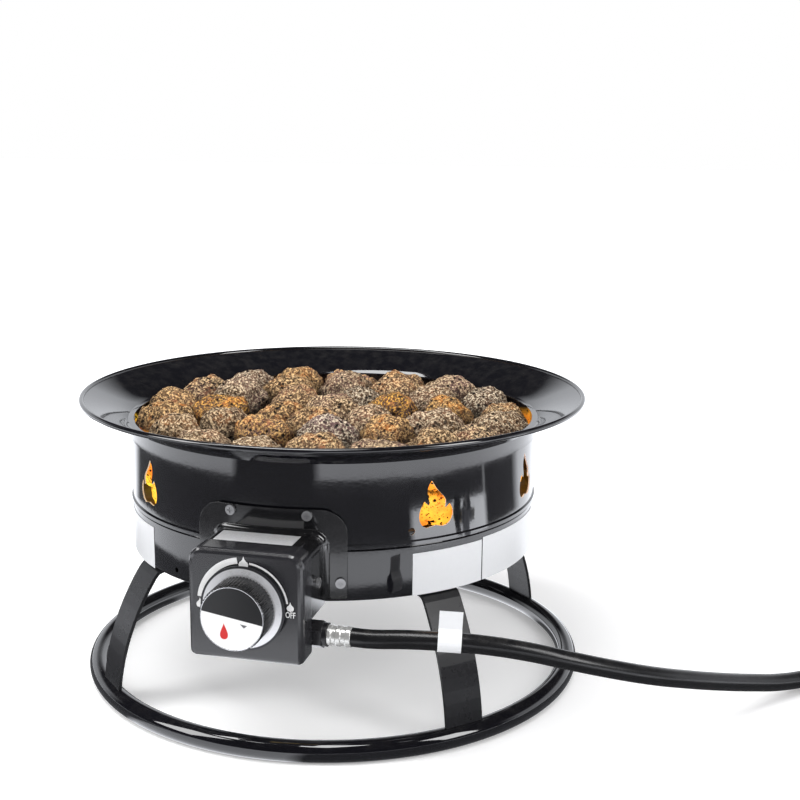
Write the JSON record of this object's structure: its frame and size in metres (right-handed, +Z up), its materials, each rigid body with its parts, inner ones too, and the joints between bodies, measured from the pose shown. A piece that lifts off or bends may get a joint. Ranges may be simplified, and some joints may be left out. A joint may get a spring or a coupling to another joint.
{
  "type": "portable gas fire bowl",
  "caption": "Portable gas fire bowl on a ring stand: vented drum with flared rim, hidden ring burner under lava rock, control box with push-and-turn knob, gas hose with tank regulator.",
  "frame": {"origin": "on the bowl's vertical axis, at the ground under the base ring", "axes": "+Z up, -Y towards the control knob, +X to the right of someone who faces the knob"},
  "size_m": [0.9658, 0.5264, 0.2727],
  "materials": {
    "black_enamel": "gloss",
    "box_paint": "satin",
    "heat_paint": "matte",
    "burner_steel": "satin",
    "zinc_screws": "satin",
    "crimp_steel": "polished",
    "brass": "satin",
    "chrome_skirt": "polished",
    "knob_black": "matte",
    "knob_face": "gloss",
    "black_nut": "satin",
    "hose_rubber": "satin",
    "seal_rubber": "matte",
    "zinc_casting": "satin",
    "grip_plastic": "matte",
    "lava_rock": "matte"
  },
  "bodies": {
    "root": {"base_ring": "black_enamel", "leg_front_left": "black_enamel", "leg_front_right": "black_enamel", "leg_rear_left": "black_enamel", "leg_rear_right": "black_enamel", "leg_bolts": "zinc_screws", "bottom_pan": "black_enamel", "shell": "black_enamel", "rim": "black_enamel", "burner_pan": "heat_paint", "burner": "burner_steel", "burner_locknut": "zinc_screws", "mixer_tube": "burner_steel", "jet": "brass", "valve_body": "brass", "outlet_nut": "zinc_screws", "valve_cradle": "burner_steel", "cradle_screws": "zinc_screws", "valve_screws": "zinc_screws", "control_bracket": "box_paint", "bracket_screws": "zinc_screws", "control_cover": "box_paint", "inlet_elbow": "brass", "flare_nut": "black_nut", "ferrule_near": "crimp_steel", "hose_lead": "hose_rubber", "hose_coil": "hose_rubber", "ferrule_far": "crimp_steel", "regulator_body": "zinc_casting", "regulator_bonnet": "zinc_casting", "tank_nipple": "brass", "nipple_seal": "seal_rubber", "lava_rocks_lower": "lava_rock", "lava_rocks_upper": "lava_rock"},
    "push_washer": {"thrust_washer": "zinc_screws", "stem_spring": "zinc_screws"},
    "knob_turning": {"valve_stem": "zinc_screws", "knob": "knob_black", "knob_skirt": "chrome_skirt", "knob_cap": "knob_face"},
    "tank_nut": {"coupling_nut": "grip_plastic"}
  },
  "joints": [
    {"name": "knob_push", "type": "slide", "parent": "root", "child": "push_washer", "axis": [0, 1, 0], "range_m": [0, 0.003], "stiffness_N_per_m": 900, "springref_m": -0.002},
    {"name": "knob_turn", "type": "hinge", "parent": "push_washer", "child": "knob_turning", "pos_m": [0, -0.285, 0.144], "axis": [0, -1, 0], "range_deg": [0, 180]},
    {"name": "tank_nut_spin", "type": "hinge", "parent": "root", "child": "tank_nut", "pos_m": [0.6945, -0.128, 0.0249], "axis": [0, 1, 0], "continuous": true}
  ]
}
